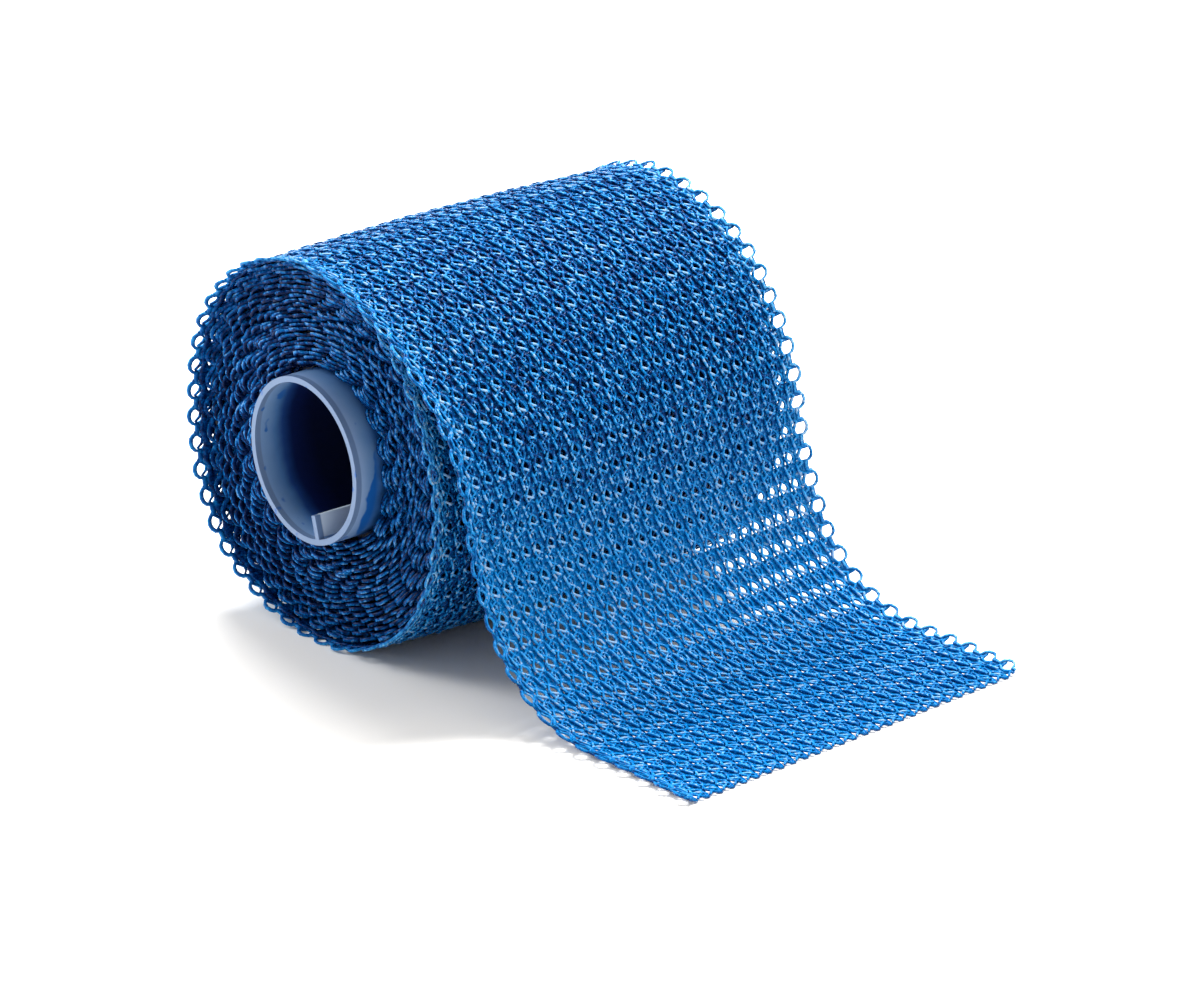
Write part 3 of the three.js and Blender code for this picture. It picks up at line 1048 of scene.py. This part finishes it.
def core_plastic():
    made, tree, shader = new_material("milky_polyethylene")
    where = add(tree, "ShaderNodeTexCoord").outputs["Object"]
    around, radius, out = core_places(tree, where)
    cloudy = add(tree, "ShaderNodeTexNoise", {
        "Vector": where, "Scale": RAGGED["scale"], "Detail": 3.0}).outputs["Fac"]
    ragged = add(tree, "ShaderNodeMath", {
        0: cloudy, 1: RAGGED["by"] * MM, 2: out}, operation="MULTIPLY_ADD")
    shares = {}
    for part, value in (("outside", radius), ("rib", radius), ("rim", out), ("drops", out)):
        none_at, whole_at = LIMITS[part]
        shares[part] = add(tree, "ShaderNodeMapRange", {
            "Value": value, "From Min": none_at * MM, "From Max": whole_at * MM})
    painted = wall_colour(tree, ragged, BORE)
    for share, tint in (
        (shares["outside"], wall_colour(tree, ragged, OUTSIDE)),
        (shares["rib"], wall_colour(tree, ragged, RIB)),
        (shares["rim"], colour(RIM_PAINTED_SHADE)),
        (resin_on_core(tree, where, around, ragged, cloudy, shares), colour(RESIN)),
    ):
        painted = add(tree, "ShaderNodeMix", {
            "Factor": share, "A": painted, "B": tint}, data_type="RGBA").outputs[2]
    tree.links.new(painted, shader.inputs["Base Color"])
    fine = add(tree, "ShaderNodeTexNoise", {"Vector": where, "Scale": GRAIN["scale"], "Detail": 3.0})
    relief = add(tree, "ShaderNodeBump", {
        "Height": fine.outputs["Fac"], "Strength": GRAIN["strength"], "Distance": GRAIN["depth"] * MM})
    tree.links.new(relief.outputs["Normal"], shader.inputs["Normal"])
    shader.inputs["Roughness"].default_value = 0.38
    shader.inputs["Specular IOR Level"].default_value = 0.3
    return made


core_finish = core_plastic()
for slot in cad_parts["core"].material_slots:
    slot.material = core_finish
print("core finish:", core_finish.name)


# %% [markdown]
# Each piece rides on the one body of the part. The dark inside takes the place of the solid roll. The free
# end's web takes the place of its solid sheet: as wide as the tape and as long as its path when it is laid
# flat.

# %% Riding and replacing
pieces = free_end + outer_turn + packed_turns + [inside]
for piece in pieces:
    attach(piece, "root")
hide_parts("wound_tape")
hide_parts("loose_end")
for spare in [path, *cells.values()]:
    bpy.data.objects.remove(spare)
print("pieces in all:", len(pieces))


# %% [markdown]
# The roll stands on a matte white board, so bright that it melts into the background. The board has a faint
# cloudiness, as painted board has.

# %% The floor
BOARD = 4.0


def white_board():
    made, tree, shader = new_material("matte_white_board")
    where = add(tree, "ShaderNodeTexCoord").outputs["Object"]
    cloud = add(tree, "ShaderNodeTexNoise", {"Vector": where, "Scale": 9.0, "Detail": 2.0})
    paint = add(tree, "ShaderNodeMix", {
        "Factor": cloud.outputs["Fac"], "A": colour("#F6F3EE"), "B": colour("#F2F0EC")}, data_type="RGBA")
    tree.links.new(paint.outputs[2], shader.inputs["Base Color"])
    shader.inputs["Roughness"].default_value = 0.9
    return made


floor_mesh = bpy.data.meshes.new("floor")
floor_mesh.from_pydata(
    [(-BOARD, -BOARD, 0), (BOARD, -BOARD, 0), (BOARD, BOARD, 0), (-BOARD, BOARD, 0)], [], [(0, 1, 2, 3)])
floor_mesh.materials.append(white_board())
floor = in_scene("floor", floor_mesh)
floor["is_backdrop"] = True
print("floor:", 2 * BOARD, "m wide")


# %% [markdown]
# The light is soft and comes from behind and above, as from large boxes over a product table. It rakes over
# the knit, makes the resin glint, and throws a soft shadow to the front left. A small box on the left opens
# up the end of the roll, and a white surround fills the rest.

# %% The light
SURROUND = 0.7
LAMPS = [
    ("overhead", (-0.1, 0.7, 1.1), 0.6, 28),
    ("behind", (-0.75, 0.3, 1.1), 0.4, 15),
    ("left", (-0.8, -0.75, 0.6), 0.5, 9),
]


def soft_box(name, place, size, power, target=(0.02, 0, 0.03)):
    data = bpy.data.lights.new(name, "AREA")
    data.shape = "DISK"
    data.size = size
    data.energy = power
    made = in_scene(name, data)
    made.location = place
    made.rotation_euler = (Vector(place) - Vector(target)).to_track_quat("Z", "Y").to_euler()
    return made


world = bpy.data.worlds.new("studio")
bpy.context.scene.world = world
world.use_nodes = True
world.node_tree.nodes["Background"].inputs["Color"].default_value = (1, 1, 1, 1)
world.node_tree.nodes["Background"].inputs["Strength"].default_value = SURROUND
bpy.context.scene.view_settings.view_transform = "Standard"
for name, place, size, power in LAMPS:
    soft_box(name, place, size, power)
print("lamps:", [name for name, *rest in LAMPS])


# %% [markdown]
# Last, the sizes of the solids and of the finished model are noted side by side in metres.

# %% Sizes and the end
size = {"cad": [list(v) for v in cad_box], "visual": [list(v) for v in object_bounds()]}
print("the finished model spans", size["visual"])
